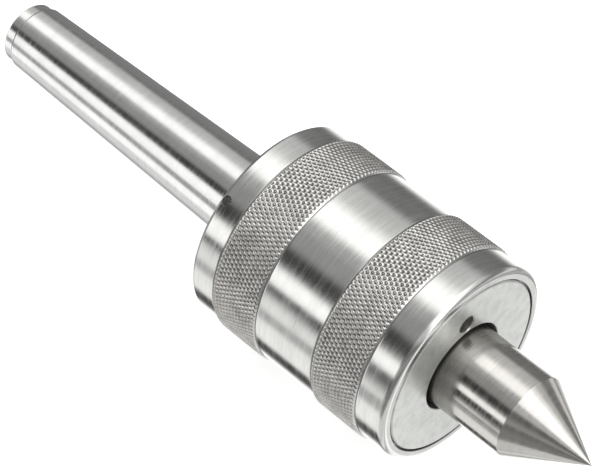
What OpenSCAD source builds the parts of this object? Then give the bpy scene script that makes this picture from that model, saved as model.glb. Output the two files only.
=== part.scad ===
// Live (rotating) center on a Morse taper No. 2 shank.
// Row frame: +X runs along the spin axis towards the point, +Z is up, and the
// origin is on the axis at the gauge plane of the taper. Millimetres.

/* [Taper shank] */
// Diameter of the taper at the gauge plane
gauge_d = 17.78; // [17.7:0.01:17.86]
// Change of diameter per millimetre of length
taper_rate = 0.04995; // [0.048:0.0001:0.052]
// Length of the taper behind the gauge plane
taper_len = 65.5; // [62:0.5:68]
// Stand-off from the gauge plane to the rear face of the body
standoff = 5; // [4:0.5:6]
// Diameter of the collar at the small end
collar_d = 13.6; // [12:0.1:14]
// Length of the collar at the small end
collar_len = 3.1; // [2:0.1:5]
// Mouth diameter of the lathe center hole in the small end
center_hole_d = 5; // [3:0.5:7]

/* [Body] */
// Outside diameter of the smooth bands
body_d = 44; // [43:0.1:46]
// Outside diameter over the knurl crests
knurl_d = 45; // [44.2:0.1:47]
// Length of the body from its rear face to its front face
body_len = 52; // [50:0.5:60]
// Length of the smooth rear band
rear_band = 6.4; // [5:0.1:8]
// Width of each knurled band
knurl_w = 11.5; // [8:0.1:12]
// Length of the smooth band between the knurls
mid_band = 15.3; // [8:0.1:16]
// Chamfer on the rear edge of the body
rear_chamfer = 0.8; // [0.4:0.1:1.5]
// Corner radius on the front edge of the body
front_radius = 1.2; // [0.6:0.1:1.6]
// Diameter of the hook spanner hole in the rear band
hook_hole_d = 2.2; // [1.8:0.1:2.4]
// Depth of the hook spanner hole
hook_hole_depth = 3.5; // [2:0.5:5]
// Distance from the rear face to the middle of the hook spanner hole
hook_hole_x = 1.5; // [1.4:0.1:4]
// Angle of the hook spanner hole round the axis, from +Y towards +Z
hook_hole_angle = 127; // [0:1:359]

/* [Front nut] */
// Outside diameter of the threaded nut
nut_d = 39; // [38:0.1:39.4]
// Thickness of the nut
nut_len = 7; // [6.5:0.5:8]
// Clearance bore of the nut round the spindle
nut_bore_d = 19.8; // [19.4:0.1:20.4]
// Diameter of each pin spanner hole
pin_hole_d = 3.8; // [3:0.1:4]
// Pitch circle diameter of the pin spanner holes
pin_pcd = 24.6; // [24.6:0.1:30]
// Depth of each pin spanner hole
pin_hole_depth = 3.4; // [2:0.1:3.5]
// Angle of the first pin spanner hole round the axis, from +Y towards +Z
pin_angle = 88; // [0:1:359]

/* [Spindle] */
// Diameter of the spindle in front of the body
spindle_d = 18; // [17.6:0.1:18.4]
// Included angle of the point
point_angle = 60; // [50:1:75]
// Length of straight spindle that stands out of the nut
stick_out = 17; // [5:0.5:40]
// Diameter of the shoulder that the front bearing seats against
shoulder_d = 20.4; // [19.5:0.1:22]
// Diameter of the journal for the front and thrust bearings
journal_d = 17; // [17:0.1:17.2]
// Diameter of the rear journal
rear_journal_d = 12; // [12:0.1:12.2]

/* [Bearings] */
// Running gap between a ball or roller and its raceway
race_gap = 0.03; // [0.02:0.01:0.05]
// Diameter of the balls
ball_d = 4.76; // [4.5:0.02:4.8]
// Number of balls in the front bearing
front_balls_n = 10; // [7:1:10]
// Number of balls in the thrust bearing
thrust_balls_n = 12; // [8:1:13]
// Number of needle rollers
needles_n = 14; // [8:1:16]

/* [Hidden] */

$fn = 96;
over = 0.5;          // how far a cutter runs past the face that it cuts
fit_gap = 0.02;      // gap between fitted pieces that stay together
half_ball = ball_d / 2;

// Stations along the axis, from the rear face forwards
rear_x = standoff;
knurl_a_x = rear_x + rear_band;
mid_x = knurl_a_x + knurl_w;
knurl_b_x = mid_x + mid_band;
front_band_x = knurl_b_x + knurl_w;
front_x = rear_x + body_len;
nut_x = front_x - nut_len;

// Shank
rear_taper_d = gauge_d + standoff * taper_rate;
small_taper_d = gauge_d - taper_len * taper_rate;
collar_x = -taper_len;
shank_end_x = collar_x - collar_len;
collar_chamfer = 0.5;
neck_depth = 0.25;   // relief groove between the collar and the taper
neck_w = 0.5;
center_pilot_d = 2;
center_pilot_len = 4;

// Nut
thread_gap_d = 2 * fit_gap;
mouth_d = nut_d + 0.6;
mouth_len = 1.2;
nut_chamfer = 0.3;
seal_pocket_d = 26;
seal_pocket_len = 3.2;

// Lip seal, 18 x 26 x 3
seal_x = nut_x + 0.1;
seal_len = 3;
seal_front_x = seal_x + seal_len;
seal_wall = 0.6;
lip_gap = 0.04;
garter_d = 0.9;

// Disc spring between the nut and the front bearing
disc_spring_len = 1;
disc_spring_t = 0.6;
disc_spring_d = 34.6;
disc_spring_bore = 27.6;

// Front bearing, 17 x 35 x 10
front_brg_len = 10;
front_brg_d = 35;
front_brg_x = nut_x - disc_spring_len - front_brg_len;
front_brg_mid = front_brg_x + front_brg_len / 2;
front_pcd = 26;
inner_land_d = 22.7;
outer_land_d = 29.3;
front_groove_r = 2.45;
shield_seat_d = 30.7;
shield_seat_len = 0.9;
shield_d = shield_seat_d - 2 * fit_gap;
shield_t = 0.4;
shield_inset = 0.4;
shield_bore = 23.4;
front_cage_w = 5.4;
front_cage_in = 24.4;
front_cage_out = 27.8;
pocket_gap = 0.07;

// Spacer sleeve and circlip behind the front inner race
sleeve_len = 4;
sleeve_d = 22.4;
sleeve_x = front_brg_x - sleeve_len;
circlip_t = 1;
circlip_d = 20.2;
circlip_groove_d = 16.2;
circlip_bore_d = circlip_groove_d + 2 * fit_gap;
circlip_x = front_brg_x - circlip_t - 0.15;
circlip_recess_d = 20.8;
circlip_recess_len = 1.5;
circlip_mouth = 3.2;
circlip_eye_d = 1.1;

// Thrust bearing, 17 x 30 x 9
thrust_len = 9;
thrust_d = 30;
thrust_x = sleeve_x - thrust_len;
thrust_mid = thrust_x + thrust_len / 2;
washer_t = 2.8;
thrust_pcd = 23.6;
shaft_washer_d = 29.5;
housing_washer_bore = 18.2;
thrust_groove_r = 2.5;
thrust_cage_w = 2.2;
thrust_cage_in = 18.2;
thrust_cage_out = 29;

// Needle bearing, 12 x 18 x 12
needle_brg_len = 12;
needle_cup_d = 18;
needle_cup_wall = 1;
needle_lip_t = 0.8;
needle_lip_bore = 13.2;
needle_brg_x = rear_x + 5;
needle_pcd = 14;
needle_d = 2 - 2 * race_gap;
needle_len = 8.6;
needle_cage_len = 9.8;
needle_cage_in = 13;
needle_cage_out = 15.4;
needle_x = needle_brg_x + (needle_brg_len - needle_len) / 2;
needle_cage_x = needle_brg_x + (needle_brg_len - needle_cage_len) / 2;

// Body bores
bore_floor_x = rear_x + 3.5;
thrust_bore_d = thrust_d + 2 * fit_gap;
front_bore_d = front_brg_d + 2 * fit_gap;
needle_bore_d = needle_cup_d + 2 * fit_gap;
journal_bore_d = journal_d + 2 * fit_gap;

// Spindle stations
point_len = (spindle_d / 2) / tan(point_angle / 2);
cone_x = front_x + stick_out;
tip_x = cone_x + point_len;
shoulder_x = front_brg_x + front_brg_len;
shoulder_len = 0.9;
journal_end_x = thrust_x + 0.5;
spindle_end_x = bore_floor_x + 1;
spindle_chamfer = 0.5;

// A solid of revolution round X. Each point of the outline is [x, radius].
module turned(outline) {
    rotate([0, 90, 0]) rotate_extrude() polygon([for (p = outline) [p[1], p[0]]]);
}

// Children drawn along +Z are laid along +X, starting at x.
module along_x(x) {
    translate([x, 0, 0]) rotate([0, 90, 0]) children();
}

module disc(x, len, d) {
    along_x(x) cylinder(h = len, d = d);
}

module ring(x, len, d_out, d_in) {
    difference() {
        disc(x, len, d_out);
        disc(x - over, len + 2 * over, d_in);
    }
}

// The tube that a ball's raceway cuts out of a ring or washer.
module raceway(x, pitch_r, r) {
    along_x(x) rotate_extrude() translate([pitch_r, 0]) circle(r = r, $fn = 64);
}

// Children drawn at the axis, facing +Y, are repeated n times round the axis.
module around(n, pitch_r) {
    for (i = [0 : n - 1])
        rotate([360 * i / n, 0, 0]) translate([0, pitch_r, 0]) children();
}

module balls(n, x, pcd, d) {
    around(n, pcd / 2) translate([x, 0, 0]) sphere(d = d, $fn = 48);
}

// A round hole into the front face of the nut.
module pin_hole(angle) {
    rotate([angle, 0, 0]) translate([0, pin_pcd / 2, 0])
        disc(front_x - pin_hole_depth, pin_hole_depth + over, pin_hole_d);
}

// Outside of the body and shank, from the small end to the front face.
module body_outside() {
    r = body_d / 2;
    k = knurl_d / 2;
    step = k - r;
    collar_r = collar_d / 2;
    turned([
        [shank_end_x, 0],
        [shank_end_x, collar_r - collar_chamfer],
        [shank_end_x + collar_chamfer, collar_r],
        [collar_x - neck_w, collar_r],
        [collar_x - neck_w, collar_r - neck_depth],
        [collar_x, collar_r - neck_depth],
        [collar_x, small_taper_d / 2],
        [rear_x, rear_taper_d / 2],
        [rear_x, r - rear_chamfer],
        [rear_x + rear_chamfer, r],
        [knurl_a_x, r],
        [knurl_a_x + step, k],
        [mid_x - step, k],
        [mid_x, r],
        [knurl_b_x, r],
        [knurl_b_x + step, k],
        [front_band_x - step, k],
        [front_band_x, r],
        [front_x - front_radius, r],
        for (a = [15 : 15 : 75])
            [front_x - front_radius + front_radius * sin(a), r - front_radius + front_radius * cos(a)],
        [front_x, r - front_radius],
        [front_x, 0],
    ]);
}

module body_bores() {
    disc(bore_floor_x, thrust_x - bore_floor_x + over, needle_bore_d);
    disc(thrust_x, front_brg_x - thrust_x + over, thrust_bore_d);
    disc(front_brg_x, nut_x - front_brg_x + over, front_bore_d);
    disc(nut_x, nut_len + over, nut_d + thread_gap_d);
    disc(front_x - mouth_len, mouth_len + over, mouth_d);
}

module center_hole() {
    cone_len = (center_hole_d - center_pilot_d) / 2 / tan(30);
    along_x(shank_end_x) cylinder(h = cone_len, d1 = center_hole_d, d2 = center_pilot_d);
    disc(shank_end_x - over, center_pilot_len + over, center_pilot_d);
}

module body_shank() {
    color([0.62, 0.62, 0.63]) difference() {
        body_outside();
        body_bores();
        center_hole();
        rotate([hook_hole_angle, 0, 0])
            translate([rear_x + hook_hole_x, body_d / 2 - hook_hole_depth, 0])
                rotate([-90, 0, 0]) cylinder(h = hook_hole_depth + over, d = hook_hole_d);
    }
}

module front_nut() {
    r = nut_d / 2;
    color([0.70, 0.71, 0.70]) difference() {
        turned([
            [nut_x, 0],
            [nut_x, r - nut_chamfer],
            [nut_x + nut_chamfer, r],
            [front_x - nut_chamfer, r],
            [front_x, r - nut_chamfer],
            [front_x, 0],
        ]);
        disc(nut_x - over, nut_len + 2 * over, nut_bore_d);
        disc(nut_x - over, seal_pocket_len + over, seal_pocket_d);
        pin_hole(pin_angle);
        pin_hole(pin_angle + 180);
    }
}

// Pressed steel case of the lip seal: a cylinder with an inward web at the front.
module seal_case() {
    color([0.45, 0.45, 0.47]) difference() {
        disc(seal_x, seal_len, seal_pocket_d - 2 * fit_gap);
        disc(seal_x - over, seal_len - seal_wall + over, seal_pocket_d - 2 * seal_wall);
        disc(seal_x, seal_len + over, nut_bore_d + 1);
    }
}

module seal_lip() {
    heel_x = seal_front_x - seal_wall;
    heel_r = seal_pocket_d / 2 - seal_wall - fit_gap;
    lip_r = spindle_d / 2 + lip_gap;
    waist_r = spindle_d / 2 + 1.6;
    color([0.10, 0.10, 0.10]) turned([
        [heel_x, heel_r],
        [heel_x, lip_r + 1],
        [heel_x - 1.1, lip_r],
        [heel_x - 1.3, lip_r],
        [seal_x + 0.2, lip_r + 0.7],
        [seal_x + 0.2, waist_r],
        [heel_x - 0.8, waist_r],
        [heel_x - 0.5, waist_r + 0.5],
        [heel_x - 0.5, heel_r],
    ]);
}

// Garter spring that loads the lip, drawn as the ring that its coils fill.
module seal_garter_spring() {
    pitch_r = spindle_d / 2 + 1.6 + garter_d / 2 + fit_gap;
    color([0.75, 0.75, 0.77])
        along_x(seal_x + 0.2 + garter_d / 2 + 0.2) rotate_extrude()
            translate([pitch_r, 0]) circle(d = garter_d, $fn = 32);
}

module preload_disc_spring() {
    outer_r = disc_spring_d / 2;
    inner_r = disc_spring_bore / 2;
    back_x = nut_x - disc_spring_len;
    color([0.35, 0.36, 0.40]) turned([
        [back_x, outer_r],
        [back_x + disc_spring_t, outer_r],
        [nut_x, inner_r],
        [nut_x - disc_spring_t, inner_r],
    ]);
}

module front_outer_race() {
    seat = shield_seat_len;
    groove_pitch_r = front_pcd / 2 + half_ball + race_gap - front_groove_r;
    color([0.66, 0.67, 0.69]) difference() {
        ring(front_brg_x, front_brg_len, front_brg_d, outer_land_d);
        raceway(front_brg_mid, groove_pitch_r, front_groove_r);
        disc(front_brg_x - over, seat + over, shield_seat_d);
        disc(front_brg_x + front_brg_len - seat, seat + over, shield_seat_d);
    }
}

module front_inner_race() {
    groove_pitch_r = front_pcd / 2 - half_ball - race_gap + front_groove_r;
    color([0.66, 0.67, 0.69]) difference() {
        ring(front_brg_x, front_brg_len, inner_land_d, journal_bore_d);
        raceway(front_brg_mid, groove_pitch_r, front_groove_r);
    }
}

module front_shield() {
    x = front_brg_x + front_brg_len - shield_inset - shield_t;
    color([0.78, 0.78, 0.80]) ring(x, shield_t, shield_d, shield_bore);
}

module rear_shield() {
    color([0.78, 0.78, 0.80])
        ring(front_brg_x + shield_inset, shield_t, shield_d, shield_bore);
}

module front_balls() {
    color([0.80, 0.80, 0.82]) balls(front_balls_n, front_brg_mid, front_pcd, ball_d);
}

module front_ball_cage() {
    x = front_brg_mid - front_cage_w / 2;
    color([0.72, 0.58, 0.30]) difference() {
        ring(x, front_cage_w, front_cage_out, front_cage_in);
        around(front_balls_n, front_cage_in / 2 - over)
            translate([front_brg_mid, 0, 0]) rotate([-90, 0, 0])
                cylinder(h = front_cage_out / 2, d = ball_d + 2 * pocket_gap);
    }
}

module shaft_circlip() {
    eye_r = (circlip_d + circlip_bore_d) / 4;
    eye_angle = asin((circlip_mouth / 2 + 1.1) / eye_r);
    color([0.28, 0.28, 0.30]) difference() {
        ring(circlip_x, circlip_t, circlip_d, circlip_bore_d);
        translate([circlip_x - over, 0, -circlip_mouth / 2])
            cube([circlip_t + 2 * over, circlip_d, circlip_mouth]);
        for (a = [-eye_angle, eye_angle])
            rotate([a, 0, 0]) translate([0, eye_r, 0])
                disc(circlip_x - over, circlip_t + 2 * over, circlip_eye_d);
    }
}

module spacer_sleeve() {
    color([0.58, 0.58, 0.60]) difference() {
        ring(sleeve_x, sleeve_len, sleeve_d, journal_bore_d);
        disc(front_brg_x - circlip_recess_len, circlip_recess_len + over, circlip_recess_d);
    }
}

module thrust_housing_washer() {
    color([0.66, 0.67, 0.69]) difference() {
        ring(thrust_x, washer_t, thrust_d, housing_washer_bore);
        raceway(thrust_mid - half_ball - race_gap + thrust_groove_r, thrust_pcd / 2, thrust_groove_r);
    }
}

module thrust_shaft_washer() {
    color([0.66, 0.67, 0.69]) difference() {
        ring(thrust_x + thrust_len - washer_t, washer_t, shaft_washer_d, journal_bore_d);
        raceway(thrust_mid + half_ball + race_gap - thrust_groove_r, thrust_pcd / 2, thrust_groove_r);
    }
}

module thrust_balls() {
    color([0.80, 0.80, 0.82]) balls(thrust_balls_n, thrust_mid, thrust_pcd, ball_d);
}

module thrust_ball_cage() {
    x = thrust_mid - thrust_cage_w / 2;
    color([0.72, 0.58, 0.30]) difference() {
        ring(x, thrust_cage_w, thrust_cage_out, thrust_cage_in);
        around(thrust_balls_n, thrust_pcd / 2)
            disc(x - over, thrust_cage_w + 2 * over, ball_d + 2 * pocket_gap);
    }
}

module needle_cup() {
    x = needle_brg_x;
    color([0.60, 0.61, 0.64]) difference() {
        disc(x, needle_brg_len, needle_cup_d);
        disc(x - over, needle_brg_len + 2 * over, needle_lip_bore);
        disc(x + needle_lip_t, needle_brg_len - 2 * needle_lip_t, needle_cup_d - 2 * needle_cup_wall);
    }
}

module needle_rollers() {
    color([0.80, 0.80, 0.82])
        around(needles_n, needle_pcd / 2) disc(needle_x, needle_len, needle_d);
}

module needle_roller_cage() {
    slot_gap = 0.1;
    color([0.30, 0.30, 0.32]) difference() {
        ring(needle_cage_x, needle_cage_len, needle_cage_out, needle_cage_in);
        around(needles_n, needle_pcd / 2)
            disc(needle_x - slot_gap, needle_len + 2 * slot_gap, needle_d + 2 * pocket_gap);
    }
}

// The live point: point, straight nose, bearing shoulder and stepped journals.
module spindle() {
    nose_r = spindle_d / 2;
    journal_r = journal_d / 2;
    rear_r = rear_journal_d / 2;
    c = spindle_chamfer;
    color([0.45, 0.45, 0.46]) difference() {
        turned([
            [tip_x, 0],
            [cone_x, nose_r],
            [shoulder_x + shoulder_len, nose_r],
            [shoulder_x + shoulder_len, shoulder_d / 2],
            [shoulder_x, shoulder_d / 2],
            [shoulder_x, journal_r],
            [journal_end_x + c, journal_r],
            [journal_end_x, journal_r - c],
            [journal_end_x, rear_r],
            [spindle_end_x + c, rear_r],
            [spindle_end_x, rear_r - c],
            [spindle_end_x, 0],
        ]);
        ring(circlip_x - 0.05, circlip_t + 0.1, journal_d + 2 * over, circlip_groove_d);
    }
}

body_shank();
front_nut();
seal_case();
seal_lip();
seal_garter_spring();
preload_disc_spring();
front_outer_race();
front_shield();
rear_shield();
thrust_housing_washer();
needle_cup();
spindle();
front_inner_race();
shaft_circlip();
spacer_sleeve();
thrust_shaft_washer();
front_balls();
front_ball_cage();
thrust_balls();
thrust_ball_cage();
needle_rollers();
needle_roller_cage();
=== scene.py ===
"""Looks of a live center: turned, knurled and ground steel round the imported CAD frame.

The row frame has +X along the spin axis towards the point and +Z up. Blender works in
metres; the named sizes below are millimetres and MM turns them into metres.
"""
import math

import bmesh
import bpy
from mathutils import Matrix, Vector


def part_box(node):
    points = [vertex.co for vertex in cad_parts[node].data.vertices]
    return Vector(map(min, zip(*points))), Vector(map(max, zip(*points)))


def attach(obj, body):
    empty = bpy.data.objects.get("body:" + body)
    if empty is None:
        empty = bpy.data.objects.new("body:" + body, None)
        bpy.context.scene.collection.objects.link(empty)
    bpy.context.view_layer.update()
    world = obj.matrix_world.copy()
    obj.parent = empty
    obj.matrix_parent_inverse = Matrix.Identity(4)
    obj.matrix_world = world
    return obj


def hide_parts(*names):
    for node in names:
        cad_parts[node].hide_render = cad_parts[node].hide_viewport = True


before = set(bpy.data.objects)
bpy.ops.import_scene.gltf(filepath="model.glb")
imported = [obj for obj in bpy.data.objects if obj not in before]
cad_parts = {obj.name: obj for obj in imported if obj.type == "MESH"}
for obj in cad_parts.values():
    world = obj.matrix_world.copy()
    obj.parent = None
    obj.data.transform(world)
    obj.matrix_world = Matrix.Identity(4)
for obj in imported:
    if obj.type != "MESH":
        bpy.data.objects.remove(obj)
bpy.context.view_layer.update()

MM = 0.001

# Stations along the axis, from the CAD frame
SHANK_END_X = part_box("body_shank")[0].x / MM
FRONT_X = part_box("body_shank")[1].x / MM
KNURL_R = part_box("body_shank")[1].z / MM
NUT_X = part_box("front_nut")[0].x / MM
NUT_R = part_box("front_nut")[1].z / MM
TIP_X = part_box("spindle")[1].x / MM
SPINDLE_END_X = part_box("spindle")[0].x / MM
BEARING_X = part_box("front_outer_race")[0].x / MM
BEARING_END_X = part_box("front_outer_race")[1].x / MM
BEARING_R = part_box("front_outer_race")[1].z / MM
THRUST_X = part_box("thrust_housing_washer")[0].x / MM
THRUST_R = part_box("thrust_housing_washer")[1].z / MM
NEEDLE_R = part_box("needle_cup")[1].z / MM
CIRCLIP_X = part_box("shaft_circlip")[0].x / MM
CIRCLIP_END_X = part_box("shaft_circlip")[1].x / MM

# Body, from here on in millimetres and degrees
BAND_R = 22.0
REAR_X = FRONT_X - 52.0
REAR_BAND = 6.4
KNURL_W = 11.5
MID_BAND = 15.3
REAR_CHAMFER = 0.8
FRONT_RADIUS = 1.2
FIT = 0.02
BORE_FLOOR_X = REAR_X + 3.5
MOUTH_R = NUT_R + 0.3
MOUTH_LEN = 1.2
HOOK_HOLE_R = 1.1
HOOK_HOLE_DEPTH = 3.5
HOOK_HOLE_MOUTH = 0.06
HOOK_HOLE_X = 1.5
HOOK_HOLE_ANGLE = 127

# Shank
TAPER_RATE = 0.04995
GAUGE_R = 8.89
COLLAR_X = -65.5
COLLAR_R = 6.8
COLLAR_CHAMFER = 0.5
NECK_W = 0.5
NECK_DEPTH = 0.25
CENTER_HOLE_R = 2.5
CENTER_PILOT_R = 1.0
CENTER_PILOT_LEN = 4.0

# Nut
NUT_BORE_R = 9.9
SEAL_POCKET_R = 13.0
SEAL_POCKET_LEN = 3.2
NUT_CHAMFER = 0.3
BORE_CHAMFER = 0.15
PIN_HOLE_R = 1.9
PIN_HOLE_DEPTH = 3.4
PIN_HOLE_MOUTH = 0.2
PIN_PITCH_R = 12.3
PIN_ANGLE = 88

# Spindle
NOSE_R = 9.0
POINT_HALF_ANGLE = 30
SHOULDER_R = 10.2
SHOULDER_LEN = 0.9
JOURNAL_R = 8.5
REAR_JOURNAL_R = 6.0
JOURNAL_CHAMFER = 0.5
JOURNAL_END_X = THRUST_X + 0.5
GROOVE_R = 8.1
GROOVE_PLAY = 0.05         # left on each side of the circlip
TIP_ROUND = 0.25            # mm from the tip at which the point starts to round off

# Diamond knurl: two crossing sets of helical grooves leave blunt diamonds, with pits
# where the grooves cross
KNURL_STARTS = 132
KNURL_STEPS = 6            # mesh steps per knurl pitch, round the axis and along it
KNURL_DEPTH = 0.36
KNURL_BLUNT = 0.12         # share of the depth that is worn off the diamonds
KNURL_EDGE = KNURL_R - BAND_R
KNURL_ROWS = 36
RELIEF_W = 0.3
RELIEF_DEPTH = 0.05
FINE = KNURL_STARTS * KNURL_STEPS
COARSE = FINE // 4

SHARP = 38                 # degrees between faces from which an edge is drawn sharp
GUARD = 0.2                # mm from the end of a long run to its guard row

# Studio, in metres
REACH = 3.0                # from the middle to the edge of the floor
CARD_R = 0.020


# ---------------------------------------------------------------- mesh helpers

def arc_corner(before, corner, after, radius, steps=3):
    """Points that round the corner of an outline with an arc of about this radius."""
    c = Vector(corner)
    to_before = Vector(before) - c
    to_after = Vector(after) - c
    reach = min(radius, to_before.length * 0.45, to_after.length * 0.45)
    start = c + to_before.normalized() * reach
    end = c + to_after.normalized() * reach
    points = []
    for i in range(steps + 1):
        t = i / steps
        points.append(tuple(start * (1 - t) ** 2 + c * 2 * t * (1 - t) + end * t ** 2))
    return points


def softened(outline):
    """An outline of (x, r, material, edge radius) rows, with its corners rounded."""
    rows = []
    last = len(outline) - 1
    for i, (x, r, mat, soft) in enumerate(outline):
        if soft and 0 < i < last:
            before = outline[i - 1][:2]
            after = outline[i + 1][:2]
            rows += [(px, pr, mat) for px, pr in arc_corner(before, (x, r), after, soft)]
        else:
            rows.append((x, r, mat))
    return rows


def guarded(rows):
    """The rows with one more just inside each end of every long run, to shade it flat."""
    result = rows[:1]
    for (x0, r0, _), (x1, r1, mat) in zip(rows, rows[1:]):
        run = math.hypot(x1 - x0, r1 - r0)
        if run > 4 * GUARD:
            for t in (GUARD / run, 1 - GUARD / run):
                result.append((x0 + (x1 - x0) * t, r0 + (r1 - r0) * t, mat))
        result.append((x1, r1, mat))
    return result


class Turned:
    """Builds a closed mesh row by row, each row a ring of points round the X axis."""

    def __init__(self, name):
        self.name = name
        self.points = []
        self.faces = []
        self.mats = []
        self.last = None

    def ring(self, x, radius, count, mat, split=None):
        """Adds a ring. radius is a number, or a function of the column."""
        if not callable(radius) and radius < 1e-6:
            here = [len(self.points)]
            self.points.append((x * MM, 0.0, 0.0))
        else:
            here = list(range(len(self.points), len(self.points) + count))
            for i in range(count):
                a = 2 * math.pi * i / count
                r = (radius(i) if callable(radius) else radius) * MM
                self.points.append((x * MM, r * math.cos(a), r * math.sin(a)))
        if self.last is not None:
            self.join(self.last, here, mat, split)
        self.last = here

    def add(self, face, mat):
        self.faces.append(face)
        self.mats.append(mat)

    def join(self, a, b, mat, split=None):
        n, m = len(a), len(b)
        if n == 1:
            for i in range(m):
                self.add((a[0], b[(i + 1) % m], b[i]), mat)
        elif m == 1:
            for i in range(n):
                self.add((a[i], a[(i + 1) % n], b[0]), mat)
        elif n == m:
            for i in range(n):
                j = (i + 1) % n
                quad = (a[i], a[j], b[j], b[i])
                if split is None:
                    self.add(quad, mat)
                elif split(i):
                    self.add((quad[0], quad[1], quad[2]), mat)
                    self.add((quad[0], quad[2], quad[3]), mat)
                else:
                    self.add((quad[0], quad[1], quad[3]), mat)
                    self.add((quad[1], quad[2], quad[3]), mat)
        elif m > n:
            self.fan(a, b, m // n, mat, False)
        else:
            self.fan(b, a, n // m, mat, True)

    def fan(self, coarse, fine, k, mat, turned_round):
        """Joins a ring to one with k times as many points."""
        n, m = len(coarse), len(fine)
        for i in range(n):
            j = (i + 1) % n
            base = i * k
            tris = []
            for s in range(k):
                corner = coarse[i] if s < k // 2 else coarse[j]
                tris.append((corner, fine[(base + s + 1) % m], fine[base + s]))
            tris.append((coarse[i], coarse[j], fine[base + k // 2]))
            for t in tris:
                self.add(t[::-1] if turned_round else t, mat)

    def outline(self, rows, count, mats):
        for x, r, mat in guarded(rows):
            self.ring(x, r, count, mats[mat])

    def build(self, materials):
        mesh = bpy.data.meshes.new(self.name)
        mesh.from_pydata(self.points, [], self.faces)
        for m in materials:
            mesh.materials.append(m)
        for poly, mat in zip(mesh.polygons, self.mats):
            poly.material_index = mat
            poly.use_smooth = True
        mesh.validate()
        mesh.update()
        work = bmesh.new()
        work.from_mesh(mesh)
        bmesh.ops.recalc_face_normals(work, faces=work.faces)
        work.to_mesh(mesh)
        work.free()
        mesh.set_sharp_from_angle(angle=math.radians(SHARP))
        obj = bpy.data.objects.new(self.name, mesh)
        bpy.context.scene.collection.objects.link(obj)
        return obj


def drill(obj, start, direction, radius, depth, mouth, wall):
    """Cuts a flat-bottomed round hole with a small countersink, from start inwards."""
    cutter = Turned("cutter")
    lead = 1.0
    rows = [
        (-lead, 0),
        (-lead, radius + mouth),
        (0, radius + mouth),
        (mouth, radius),
        (depth, radius),
        (depth, 0),
    ]
    for x, r in rows:
        cutter.ring(x, r, 48, 0)
    tool = cutter.build(obj.data.materials[:])
    for poly in tool.data.polygons:
        poly.material_index = obj.data.materials.find(wall.name)
    turn = Vector((1, 0, 0)).rotation_difference(direction)
    tool.data.transform(turn.to_matrix().to_4x4())
    tool.data.transform(Matrix.Translation(start * MM))
    cut = obj.modifiers.new("hole", "BOOLEAN")
    cut.object = tool
    cut.solver = "EXACT"
    depsgraph = bpy.context.evaluated_depsgraph_get()
    made = bpy.data.meshes.new_from_object(obj.evaluated_get(depsgraph))
    obj.modifiers.clear()
    old = obj.data
    obj.data = made
    bpy.data.meshes.remove(old)
    bpy.data.objects.remove(tool)
    made.set_sharp_from_angle(angle=math.radians(SHARP))


# ---------------------------------------------------------------- node helpers

class Nodes:
    """A small shorthand for building a node tree."""

    def __init__(self, tree):
        self.tree = tree
        tree.nodes.clear()

    def new(self, kind, **settings):
        node = self.tree.nodes.new(kind)
        for key, value in settings.items():
            setattr(node, key, value)
        return node

    def link(self, source, target):
        self.tree.links.new(source, target)

    def put(self, socket, value):
        if isinstance(value, bpy.types.NodeSocket):
            self.link(value, socket)
        else:
            socket.default_value = value

    def math(self, operation, a, b=0.0, c=0.0):
        node = self.new("ShaderNodeMath", operation=operation)
        for socket, value in zip(node.inputs, (a, b, c)):
            self.put(socket, value)
        return node.outputs[0]

    def ramp(self, value, low, high, out_low=0.0, out_high=1.0, smooth=False):
        kind = "SMOOTHSTEP" if smooth else "LINEAR"
        node = self.new("ShaderNodeMapRange", interpolation_type=kind, clamp=True)
        for name, item in (
            ("Value", value),
            ("From Min", low),
            ("From Max", high),
            ("To Min", out_low),
            ("To Max", out_high),
        ):
            self.put(node.inputs[name], item)
        return node.outputs["Result"]

    def mix(self, factor, a, b):
        node = self.new("ShaderNodeMix", data_type="RGBA")
        self.put(node.inputs["Factor"], factor)
        for name, value in (("A", a), ("B", b)):
            socket = [s for s in node.inputs if s.name == name and s.type == "RGBA"][0]
            self.put(socket, value)
        return [s for s in node.outputs if s.type == "RGBA"][0]

    def noise(self, vector, scale, detail=3.0, roughness=0.5):
        node = self.new("ShaderNodeTexNoise")
        self.link(vector, node.inputs["Vector"])
        node.inputs["Scale"].default_value = scale
        node.inputs["Detail"].default_value = detail
        node.inputs["Roughness"].default_value = roughness
        return node.outputs["Fac"]

    def vector(self, x, y, z):
        node = self.new("ShaderNodeCombineXYZ")
        for socket, value in zip(node.inputs, (x, y, z)):
            self.put(socket, value)
        return node.outputs[0]


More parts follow.
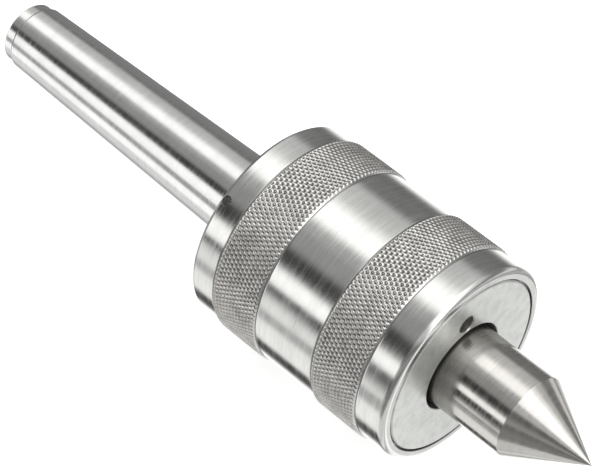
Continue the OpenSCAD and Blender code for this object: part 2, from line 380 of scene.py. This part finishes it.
def metal(name, base, rough, streak=0.1, lathe=900, bump=0.15, brushed=1.0, spots=0.0, uneven=0.0,
          metallic=1.0, painted_shade_span=None, knurl=None):
    """A turned or ground steel: streaks that run round the X axis, blotches and specks.

    brushed is how much the gloss changes from streak to streak. painted_shade_span is (start,
    end) in mm along X of a painted brown shade, with a rougher finish, that thins out on the way.
    knurl is (crest radius, depth, roughness of the worn crests, colour of the painted shade in
    the pits).
    """
    mat = bpy.data.materials.new(name)
    mat.use_nodes = True
    n = Nodes(mat.node_tree)
    out = n.new("ShaderNodeOutputMaterial")
    shader = n.new("ShaderNodeBsdfPrincipled")
    n.link(shader.outputs[0], out.inputs["Surface"])
    shader.inputs["Metallic"].default_value = metallic

    place = n.new("ShaderNodeTexCoord").outputs["Object"]
    split = n.new("ShaderNodeSeparateXYZ")
    n.link(place, split.inputs[0])
    x, y, z = split.outputs
    radius = n.math("SQRT", n.math("ADD", n.math("MULTIPLY", y, y), n.math("MULTIPLY", z, z)))
    turn = n.math("ARCTAN2", z, y)
    along = n.math("ADD", x, radius)
    round_y = n.math("COSINE", turn)
    round_z = n.math("SINE", turn)

    def rings(pitch, swirl, detail):
        """Noise drawn out round the axis, with swirl patches in a turn of about 1 radian."""
        spot = n.vector(
            n.math("MULTIPLY", along, pitch),
            n.math("MULTIPLY", round_y, swirl),
            n.math("MULTIPLY", round_z, swirl),
        )
        return n.noise(spot, 1.0, detail, 0.6)

    fine = rings(lathe * 2.0, 2.5, 4.0)
    broad = rings(lathe / 5, 1.5, 3.0)
    scratch = rings(lathe * 4.0, 5.0, 1.0)
    blotch = n.noise(place, 90.0, 4.0, 0.6)
    speck = n.noise(place, 1400.0, 2.0, 0.5)
    grain = n.noise(place, 420.0, 3.0, 0.6)

    tone = n.math("ADD", n.math("MULTIPLY", fine, 0.55), n.math("MULTIPLY", broad, 0.45))
    light = tuple(min(1.0, c * (1 + streak)) for c in base)
    deep = tuple(c * (1 - streak) for c in base)
    color = n.mix(n.ramp(tone, 0.38, 0.62), (*deep, 1), (*light, 1))
    color = n.mix(n.ramp(blotch, 0.45, 0.75, 0.0, 0.35), color, (*deep, 1))
    dull = tuple(c * (1 - 2.5 * streak) for c in base)
    color = n.mix(n.ramp(scratch, 0.66, 0.74, 0.0, 0.7), color, (*dull, 1))
    if uneven:
        patchy = tuple(c * (1 - uneven) for c in base)
        color = n.mix(n.ramp(grain, 0.42, 0.66), color, (*patchy, 1))
    if spots:
        pitted = n.ramp(speck, 0.72, 0.78, 0.0, spots)
        color = n.mix(pitted, color, (0.08, 0.075, 0.07, 1))
    if knurl:
        crest_r, depth, crest_rough, pit_shade = knurl
        floor_r = crest_r - depth
        low = (floor_r + 0.1 * depth) * MM
        high = (floor_r + 0.55 * depth) * MM
        # Painted shade: the colour darkens towards the bottom of the knurl's grooves and pits.
        pit_shade_mask = n.ramp(radius, low, high, 1.0, 0.0)
        color = n.mix(pit_shade_mask, color, (*pit_shade, 1))
    # Painted shade: a brown darkening over a span along X, strongest at its start, ragged at its
    # edge, with the roughness raised.
    if painted_shade_span:
        start, end = painted_shade_span
        spread = n.math("MULTIPLY_ADD", blotch, 0.002, x)
        painted_shade = n.ramp(spread, start * MM, end * MM, 0.7, 0.0, smooth=True)
        color = n.mix(painted_shade, color, (0.17, 0.155, 0.135, 1))
    n.link(color, shader.inputs["Base Color"])
    wear = n.math("ADD", n.math("MULTIPLY", fine, 0.7), n.math("MULTIPLY", blotch, 0.3))
    finish = n.ramp(wear, 0.36, 0.64, rough * (1 - 0.35 * brushed), rough * (1 + 0.45 * brushed))
    if painted_shade_span:
        finish = n.math("MULTIPLY_ADD", painted_shade, 0.25, finish)
    if knurl:
        worn = n.ramp(radius, (crest_r - 0.08) * MM, (crest_r - 0.03) * MM)
        worn = n.math("MULTIPLY", worn, n.ramp(blotch, 0.25, 0.45))
        shine = n.math("MULTIPLY", n.math("SUBTRACT", crest_rough, finish), worn)
        finish = n.math("ADD", finish, shine)
    n.link(finish, shader.inputs["Roughness"])
    relief = n.new("ShaderNodeBump")
    relief.inputs["Strength"].default_value = bump
    relief.inputs["Distance"].default_value = 0.00002
    n.link(fine, relief.inputs["Height"])
    n.link(relief.outputs[0], shader.inputs["Normal"])
    return mat


def rubber(name, base, rough):
    """Dull black rubber with a fine grain."""
    mat = bpy.data.materials.new(name)
    mat.use_nodes = True
    n = Nodes(mat.node_tree)
    out = n.new("ShaderNodeOutputMaterial")
    shader = n.new("ShaderNodeBsdfPrincipled")
    n.link(shader.outputs[0], out.inputs["Surface"])
    place = n.new("ShaderNodeTexCoord").outputs["Object"]
    grain = n.noise(place, 3000.0, 3.0, 0.6)
    dusty = tuple(c * 1.8 for c in base)
    n.link(n.mix(grain, (*base, 1), (*dusty, 1)), shader.inputs["Base Color"])
    n.link(n.ramp(grain, 0.3, 0.7, rough - 0.1, rough + 0.1), shader.inputs["Roughness"])
    relief = n.new("ShaderNodeBump")
    relief.inputs["Strength"].default_value = 0.3
    relief.inputs["Distance"].default_value = 0.00003
    n.link(grain, relief.inputs["Height"])
    n.link(relief.outputs[0], shader.inputs["Normal"])
    return mat


# ---------------------------------------------------------------- materials

BAND = metal("turned_steel", (0.61, 0.61, 0.60), 0.17, streak=0.09, brushed=0.7)
# Darker, rougher steel for the groove beside each knurl and the rear chamfer; its dark colour is
# painted shade.
DULL_SHADED_EDGE = metal("dull_and_shaded_steel", (0.26, 0.255, 0.25), 0.35, streak=0.1)
FACED = metal("faced_steel", (0.46, 0.465, 0.455), 0.3, streak=0.06, uneven=0.1)
# The knurl's last colour is painted shade for its pits.
KNURL = metal("knurled_steel", (0.58, 0.565, 0.55), 0.26, streak=0.06, lathe=300, bump=0.05,
              uneven=0.25, knurl=(KNURL_R, KNURL_DEPTH, 0.15, (0.07, 0.065, 0.06)))
SHANK = metal("ground_steel", (0.58, 0.58, 0.575), 0.17, streak=0.06, lathe=1500)
HOLE = metal("drilled_steel", (0.5, 0.49, 0.475), 0.3, streak=0.2, lathe=300, metallic=0.88)
# Darker steel for the bores, the mouth round the nut and the center hole; its dark colour is
# painted shade in these hollows.
SHADED_BORE = metal("bored_steel_with_painted_shade", (0.34, 0.335, 0.33), 0.24, streak=0.1)
NUT = metal("nut_steel", (0.475, 0.485, 0.47), 0.32, streak=0.015, brushed=0.25, spots=0.6,
            uneven=0.16, metallic=0.55)
# The spindle darkens towards the nut over its first 6.5 mm: painted shade.
POINT = metal("spindle_steel", (0.55, 0.535, 0.515), 0.16, streak=0.07, lathe=1500,
              painted_shade_span=(FRONT_X, FRONT_X + 6.5))


# ---------------------------------------------------------------- pieces

def knurl_band(shape, start_x, mat, edge_mat):
    """The rows of one knurled band, from its rear edge to its front edge."""
    length = KNURL_W - 2 * KNURL_EDGE
    step = length / KNURL_ROWS
    pitch = step * KNURL_STEPS

    def surface(s):
        """Radius by column, s mm from the start of the full-height knurl."""
        b = s / pitch

        def at(i):
            a = i / KNURL_STEPS
            cut = 0.5 * sum(math.cos(math.pi * phase) ** 2 for phase in (a + b, a - b))
            low = KNURL_R - KNURL_DEPTH * max(0.0, cut - KNURL_BLUNT) / (1 - KNURL_BLUNT)
            ramp = min(s + KNURL_EDGE, length + KNURL_EDGE - s)
            return min(low, BAND_R + ramp)

        return at

    slope = [-KNURL_EDGE * f for f in (1.0, 0.66, 0.33)]
    stations = slope + [k * step for k in range(KNURL_ROWS + 1)]
    stations += [length - s for s in reversed(slope)]
    for k, s in enumerate(stations):
        row = round(s / step) - 1
        inside = 0 < s <= length + step / 2
        shape.ring(
            start_x + KNURL_EDGE + s, surface(s), FINE, mat if inside else edge_mat,
            split=lambda i, row=row: (i - row) % 2 == 0,
        )


def make_body():
    """The shank and the body, in one outline from the shank's center hole to the bore."""
    shape = Turned("body_shank_turned")
    mats = {"shank": 0, "band": 1, "knurl": 2, "bore": 3, "edge": 4, "face": 5}

    def taper_r(x):
        return GAUGE_R + x * TAPER_RATE / 2

    def relief(x, band):
        """A narrow dull groove round x by a knurl, in painted shade. band is -1 with the plain
        band behind.
        """
        rows = [(-0.5, 0, "band"), (-0.12, 1, "edge"), (0.12, 1, "edge"), (0.5, 0, "edge")]
        guard = (band * (0.5 + GUARD / RELIEF_W), 0, "band")
        for dx, depth, mat in sorted(rows + [guard]):
            shape.ring(x + dx * RELIEF_W, BAND_R - depth * RELIEF_DEPTH, COARSE, mats[mat])

    end = SHANK_END_X
    cone_end = end + (CENTER_HOLE_R - CENTER_PILOT_R) / math.tan(math.radians(30))
    back = softened([
        (end + CENTER_PILOT_LEN, 0, "bore", 0),
        (end + CENTER_PILOT_LEN, CENTER_PILOT_R, "bore", 0),
        (cone_end, CENTER_PILOT_R, "bore", 0),
        (end, CENTER_HOLE_R, "bore", 0.1),
        (end, COLLAR_R - COLLAR_CHAMFER, "shank", 0.12),
        (end + COLLAR_CHAMFER, COLLAR_R, "shank", 0.12),
        (COLLAR_X - NECK_W, COLLAR_R, "shank", 0.06),
        (COLLAR_X - NECK_W, COLLAR_R - NECK_DEPTH, "shank", 0),
        (COLLAR_X, COLLAR_R - NECK_DEPTH, "shank", 0),
        (COLLAR_X, taper_r(COLLAR_X), "shank", 0.12),
        (REAR_X, taper_r(REAR_X), "shank", 0),
        (REAR_X, BAND_R - REAR_CHAMFER, "band", 0.1),
        # the rear chamfer in the darker steel: painted shade
        (REAR_X + REAR_CHAMFER, BAND_R, "edge", 0.15),
        (REAR_X + REAR_CHAMFER + 0.3, BAND_R, "band", 0),
    ])
    shape.outline(back, COARSE, mats)
    knurl_a = REAR_X + REAR_BAND
    mid = knurl_a + KNURL_W
    knurl_b = mid + MID_BAND
    front = knurl_b + KNURL_W
    half_relief = RELIEF_W / 2
    relief(knurl_a - half_relief, -1)
    knurl_band(shape, knurl_a, mats["knurl"], mats["band"])
    relief(mid + half_relief, 1)
    relief(knurl_b - half_relief, -1)
    knurl_band(shape, knurl_b, mats["knurl"], mats["band"])
    relief(front + half_relief, 1)
    nose = [(FRONT_X - FRONT_RADIUS - dx, BAND_R, "band") for dx in (GUARD, 0)]
    for a in range(15, 91, 15):
        s = math.sin(math.radians(a))
        c = math.cos(math.radians(a))
        nose.append((FRONT_X - FRONT_RADIUS * (1 - s), BAND_R - FRONT_RADIUS * (1 - c), "band"))
    shape.outline(nose, COARSE, mats)
    inside = softened([
        (FRONT_X, BAND_R - FRONT_RADIUS, "band", 0),        # where the nose ends
        (FRONT_X, MOUTH_R, "face", 0.12),
        (FRONT_X - MOUTH_LEN, MOUTH_R, "bore", 0),
        (FRONT_X - MOUTH_LEN, NUT_R + FIT, "bore", 0),
        (NUT_X, NUT_R + FIT, "bore", 0),
        (NUT_X, BEARING_R + FIT, "bore", 0.1),
        (BEARING_X, BEARING_R + FIT, "bore", 0),
        (BEARING_X, THRUST_R + FIT, "bore", 0.1),
        (THRUST_X, THRUST_R + FIT, "bore", 0),
        (THRUST_X, NEEDLE_R + FIT, "bore", 0.1),
        (BORE_FLOOR_X, NEEDLE_R + FIT, "bore", 0),
        (BORE_FLOOR_X, 0, "bore", 0),
    ])
    shape.outline(inside[1:], COARSE, mats)
    body = shape.build([SHANK, BAND, KNURL, SHADED_BORE, DULL_SHADED_EDGE, FACED, HOLE])
    angle = math.radians(HOOK_HOLE_ANGLE)
    outward = Vector((0, math.cos(angle), math.sin(angle)))
    start = Vector((REAR_X + HOOK_HOLE_X, 0, 0)) + outward * BAND_R
    drill(body, start, -outward, HOOK_HOLE_R, HOOK_HOLE_DEPTH, HOOK_HOLE_MOUTH, HOLE)
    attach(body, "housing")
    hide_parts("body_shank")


def make_nut():
    """The front nut, a ring whose outline starts and ends at the front of its bore."""
    shape = Turned("front_nut_turned")
    rows = softened([
        (FRONT_X, NUT_BORE_R + BORE_CHAMFER, 0, 0),
        (FRONT_X, NUT_R - NUT_CHAMFER, 0, 0.05),
        (FRONT_X - NUT_CHAMFER, NUT_R, 0, 0.05),
        (NUT_X + NUT_CHAMFER, NUT_R, 0, 0.05),
        (NUT_X, NUT_R - NUT_CHAMFER, 0, 0.05),
        (NUT_X, SEAL_POCKET_R, 0, 0.1),
        (NUT_X + SEAL_POCKET_LEN, SEAL_POCKET_R, 0, 0),
        (NUT_X + SEAL_POCKET_LEN, NUT_BORE_R, 0, 0),
        (FRONT_X - BORE_CHAMFER, NUT_BORE_R, 0, 0),
    ])
    shape.outline(rows, COARSE, {0: 0})
    shape.join(shape.last, list(range(COARSE)), 0)
    nut = shape.build([NUT, HOLE])
    back = Vector((-1, 0, 0))
    for angle in (PIN_ANGLE, PIN_ANGLE + 180):
        a = math.radians(angle)
        start = Vector((FRONT_X, PIN_PITCH_R * math.cos(a), PIN_PITCH_R * math.sin(a)))
        drill(nut, start, back, PIN_HOLE_R, PIN_HOLE_DEPTH, PIN_HOLE_MOUTH, HOLE)
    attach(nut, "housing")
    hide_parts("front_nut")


def make_spindle():
    """The spindle, from its rear end to its point."""
    shape = Turned("spindle_ground")
    slope = math.tan(math.radians(POINT_HALF_ANGLE))
    cone_x = TIP_X - NOSE_R / slope
    shoulder_x = BEARING_END_X
    rows = softened([
        (SPINDLE_END_X, 0, 0, 0),
        (SPINDLE_END_X, REAR_JOURNAL_R - JOURNAL_CHAMFER, 0, 0.1),
        (SPINDLE_END_X + JOURNAL_CHAMFER, REAR_JOURNAL_R, 0, 0.1),
        (JOURNAL_END_X, REAR_JOURNAL_R, 0, 0.3),
        (JOURNAL_END_X, JOURNAL_R - JOURNAL_CHAMFER, 0, 0.1),
        (JOURNAL_END_X + JOURNAL_CHAMFER, JOURNAL_R, 0, 0.1),
        (CIRCLIP_X - GROOVE_PLAY, JOURNAL_R, 0, 0),
        (CIRCLIP_X - GROOVE_PLAY, GROOVE_R, 0, 0),
        (CIRCLIP_END_X + GROOVE_PLAY, GROOVE_R, 0, 0),
        (CIRCLIP_END_X + GROOVE_PLAY, JOURNAL_R, 0, 0),
        (shoulder_x, JOURNAL_R, 0, 0),
        (shoulder_x, SHOULDER_R, 0, 0.1),
        (shoulder_x + SHOULDER_LEN, SHOULDER_R, 0, 0.1),
        (shoulder_x + SHOULDER_LEN, NOSE_R, 0, 0.2),
        (cone_x, NOSE_R, 0, 0.1),
        (TIP_X - TIP_ROUND, TIP_ROUND * slope, 0, 0),
        (TIP_X - 0.04, 0.07, 0, 0),
        (TIP_X, 0, 0, 0),
    ])
    shape.outline(rows, COARSE, {0: 0})
    spindle = shape.build([POINT])
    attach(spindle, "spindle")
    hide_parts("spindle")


make_body()
make_nut()
make_spindle()


# ---------------------------------------------------------------- inner CAD nodes

RACE = metal("race_steel", (0.62, 0.63, 0.65), 0.15, streak=0.04, lathe=1500)
BALL = metal("ball_steel", (0.75, 0.76, 0.78), 0.08, streak=0.01, lathe=300, bump=0.0)
BRASS = metal("cage_brass", (0.70, 0.50, 0.22), 0.3, streak=0.1)
CAGE = metal("cage_steel", (0.30, 0.30, 0.31), 0.35, streak=0.1)
SHIELD = metal("shield_steel", (0.68, 0.68, 0.70), 0.25, streak=0.05)
SPRING = metal("spring_steel", (0.30, 0.31, 0.34), 0.35, streak=0.1)
SEAL = rubber("seal_rubber", (0.012, 0.012, 0.012), 0.55)

FINISHES = {
    "seal_case": CAGE,
    "seal_lip": SEAL,
    "seal_garter_spring": SPRING,
    "preload_disc_spring": SPRING,
    "front_outer_race": RACE,
    "front_inner_race": RACE,
    "front_shield": SHIELD,
    "rear_shield": SHIELD,
    "thrust_housing_washer": RACE,
    "thrust_shaft_washer": RACE,
    "needle_cup": RACE,
    "shaft_circlip": SPRING,
    "spacer_sleeve": SHANK,
    "front_balls": BALL,
    "thrust_balls": BALL,
    "needle_rollers": BALL,
    "front_ball_cage": BRASS,
    "thrust_ball_cage": BRASS,
    "needle_roller_cage": CAGE,
}

for name, finish in FINISHES.items():
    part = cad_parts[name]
    part.data.materials.clear()
    part.data.materials.append(finish)


# ---------------------------------------------------------------- studio

def light_ring(n, turn, tilt, base, strips):
    """Brightness round the X axis, as soft boxes and dark flags laid over a base level.

    Each strip is (start, end, softness at the start, softness at the end, levels), with its
    angles in degrees round the X axis, from +Y towards +Z. The two levels are for rays
    that run back along the shank and for those that run on ahead of the point. A strip may
    end with a taper, the degrees each side moves in by towards the front.
    """
    forward = n.ramp(tilt, -0.35, 0.05)
    shade = n.ramp(forward, 0.0, 1.0, *base)
    for start, end, soft_start, soft_end, levels, *taper in strips:
        middle = math.radians((start + end) / 2)
        half = (end - start) / 2
        left = right = n.math("WRAP", n.math("SUBTRACT", turn, middle), math.pi, -math.pi)
        if taper:
            inset = n.ramp(tilt, -0.475, -0.375, math.radians(-taper[0]), math.radians(taper[0]))
            left = n.math("SUBTRACT", left, inset)
            right = n.math("ADD", right, inset)
        rise = n.ramp(
            left, math.radians(-half - soft_start / 2), math.radians(-half + soft_start / 2),
            smooth=True,
        )
        fall = n.ramp(
            right, math.radians(half - soft_end / 2), math.radians(half + soft_end / 2), 1.0, 0.0,
            smooth=True,
        )
        cover = n.math("MULTIPLY", rise, fall)
        level = n.ramp(forward, 0.0, 1.0, *levels)
        kept = n.math("MULTIPLY", shade, n.math("SUBTRACT", 1.0, cover))
        shade = n.math("MULTIPLY_ADD", cover, level, kept)
    return shade


def studio_world():
    """Light from all round, by where it stands round the X axis."""
    world = bpy.data.worlds.new("studio")
    bpy.context.scene.world = world
    world.use_nodes = True
    n = Nodes(world.node_tree)
    out = n.new("ShaderNodeOutputWorld")
    sky = n.new("ShaderNodeBackground")
    n.link(sky.outputs[0], out.inputs["Surface"])
    place = n.new("ShaderNodeTexCoord").outputs["Generated"]
    split = n.new("ShaderNodeSeparateXYZ")
    n.link(place, split.inputs[0])
    x, y, z = split.outputs
    turn = n.math("ARCTAN2", z, y)
    shade = light_ring(n, turn, x, (0.26, 0.3), [
        (-86, -29, 14, 26, (1.5, 1.5)),         # bright sweep on the far low side
        (-50, -28, 10, 26, (1.5, 0.5)),         # its shaded end, ahead of the point
        (-15, 1, 8, 8, (0.22, 1.0)),            # far edge of the table
        (29, 110, 14, 10, (0.76, 0.8)),         # wall above the sweep
        (47, 70, 10, 10, (0.84, 1.4)),          # top of the wall
        (64, 96, 20, 18, (1.75, 2.6)),          # overhead soft box
        (96, 112, 12, 12, (0.55, 1.9)),         # its far end
        (109, 131, 10, 12, (0.42, 0.75)),       # ceiling behind the box
        (133, 149, 8, 6, (0.06, 0.2)),          # dark gap
        (168, 186, 4, 5, (0.07, 0.25)),         # edge of the table
        (155, 173, 6, 3, (1.7, 0.45), 2.0),     # strip light on the near side
        (189, 206, 8, 6, (1.25, 0.35), 6.0),    # near sweep
        (206, 217, 4, 8, (0.6, 0.35)),          # dim line across the sweep
        (217, 249, 8, 6, (1.3, 0.95)),          # lower near sweep
        (251, 267, 4, 12, (0.06, 1.15)),        # dark gap below
    ])
    n.link(n.vector(shade, shade, n.math("MULTIPLY", shade, 0.985)), sky.inputs["Color"])
    sky.inputs["Strength"].default_value = 1.0


def shank_card():
    """A curved card close round the underside of the shank, seen only in its polish."""
    first, last, steps = 160, 392, 48
    ends = (SHANK_END_X * MM - CARD_R, REAR_X * MM - 0.0005)
    points = []
    for i in range(steps + 1):
        a = math.radians(first + (last - first) * i / steps)
        points += [(x, CARD_R * math.cos(a), CARD_R * math.sin(a)) for x in ends]
    faces = [(2 * i, 2 * i + 1, 2 * i + 3, 2 * i + 2) for i in range(steps)]
    mesh = bpy.data.meshes.new("shank_card")
    mesh.from_pydata(points, [], faces)
    obj = bpy.data.objects.new("shank_card", mesh)
    bpy.context.scene.collection.objects.link(obj)
    mat = bpy.data.materials.new("shank_card_light")
    mat.use_nodes = True
    n = Nodes(mat.node_tree)
    out = n.new("ShaderNodeOutputMaterial")
    glow = n.new("ShaderNodeEmission")
    n.link(glow.outputs[0], out.inputs["Surface"])
    split = n.new("ShaderNodeSeparateXYZ")
    n.link(n.new("ShaderNodeTexCoord").outputs["Object"], split.inputs[0])
    x, y, z = split.outputs
    turn = n.math("ARCTAN2", z, y)
    shade = light_ring(n, turn, x, (0.3, 0.3), [
        (155, 172, 2, 9, (1.6, 1.6)),           # end of the strip light
        (171, 184, 6, 6, (0.52, 0.52)),         # edge of the table
        (184, 211, 6, 18, (1.7, 1.7)),          # near sweep
        (207, 237, 12, 14, (1.05, 1.05)),       # lower near sweep
        (236, 262, 10, 20, (0.6, 0.6)),         # floor below
        (258, 316, 20, 14, (0.56, 0.56)),       # floor under the axis
        (314, 346, 12, 20, (0.25, 0.25)),       # floor on the far side
    ])
    n.link(shade, glow.inputs["Strength"])
    mat.cycles.emission_sampling = "NONE"
    mesh.materials.append(mat)
    for kind in ("camera", "diffuse", "shadow", "transmission", "volume_scatter"):
        setattr(obj, "visible_" + kind, False)


def backdrop():
    """Plain pale walls and ceiling, a long way off, that only the camera sees."""
    bpy.ops.mesh.primitive_cube_add(size=2 * REACH)
    obj = bpy.context.object
    obj.name = "backdrop"
    mat = bpy.data.materials.new("pale_wall")
    mat.use_nodes = True
    shader = mat.node_tree.nodes["Principled BSDF"]
    shader.inputs["Base Color"].default_value = (0, 0, 0, 1)
    shader.inputs["Roughness"].default_value = 1.0
    shader.inputs["Specular IOR Level"].default_value = 0.0
    shader.inputs["Emission Color"].default_value = (1, 1, 1, 1)
    shader.inputs["Emission Strength"].default_value = 1.0
    mat.cycles.emission_sampling = "NONE"
    obj.data.materials.append(mat)
    for kind in ("diffuse", "glossy", "shadow", "transmission", "volume_scatter"):
        setattr(obj, "visible_" + kind, False)


def floor():
    """A plain pale floor just under the knurl, which the steel doesn't mirror."""
    mesh = bpy.data.meshes.new("floor")
    drop = -KNURL_R * MM - 0.00002
    corners = [(sx * REACH, sy * REACH, drop) for sx, sy in ((-1, -1), (1, -1), (1, 1), (-1, 1))]
    mesh.from_pydata(corners, [], [(0, 1, 2, 3)])
    obj = bpy.data.objects.new("floor", mesh)
    bpy.context.scene.collection.objects.link(obj)
    mat = bpy.data.materials.new("pale_floor")
    mat.use_nodes = True
    shader = mat.node_tree.nodes["Principled BSDF"]
    shader.inputs["Base Color"].default_value = (0.7, 0.7, 0.7, 1)
    shader.inputs["Roughness"].default_value = 0.9
    shader.inputs["Specular IOR Level"].default_value = 0.0
    shader.inputs["Emission Color"].default_value = (1, 1, 1, 1)
    shader.inputs["Emission Strength"].default_value = 0.75
    mesh.materials.append(mat)
    obj.visible_glossy = False


def camera():
    """The camera looks at the object from its front, to one side and well above."""
    azimuth = math.radians(45.11)
    elevation = math.radians(50.02)
    distance = 0.525
    aim = Vector((0.0123, 0.0009, -0.0001))
    back = Vector((
        math.sin(azimuth) * math.cos(elevation),
        -math.cos(azimuth) * math.cos(elevation),
        math.sin(elevation),
    ))
    data = bpy.data.cameras.new("camera")
    data.sensor_width = 36
    data.lens = 159
    obj = bpy.data.objects.new("camera", data)
    obj.location = aim + back * distance
    obj.rotation_euler = (-back).to_track_quat("-Z", "Y").to_euler()
    bpy.context.scene.collection.objects.link(obj)
    bpy.context.scene.camera = obj


studio_world()
shank_card()
backdrop()
floor()
camera()
bpy.context.scene.view_settings.view_transform = "Standard"
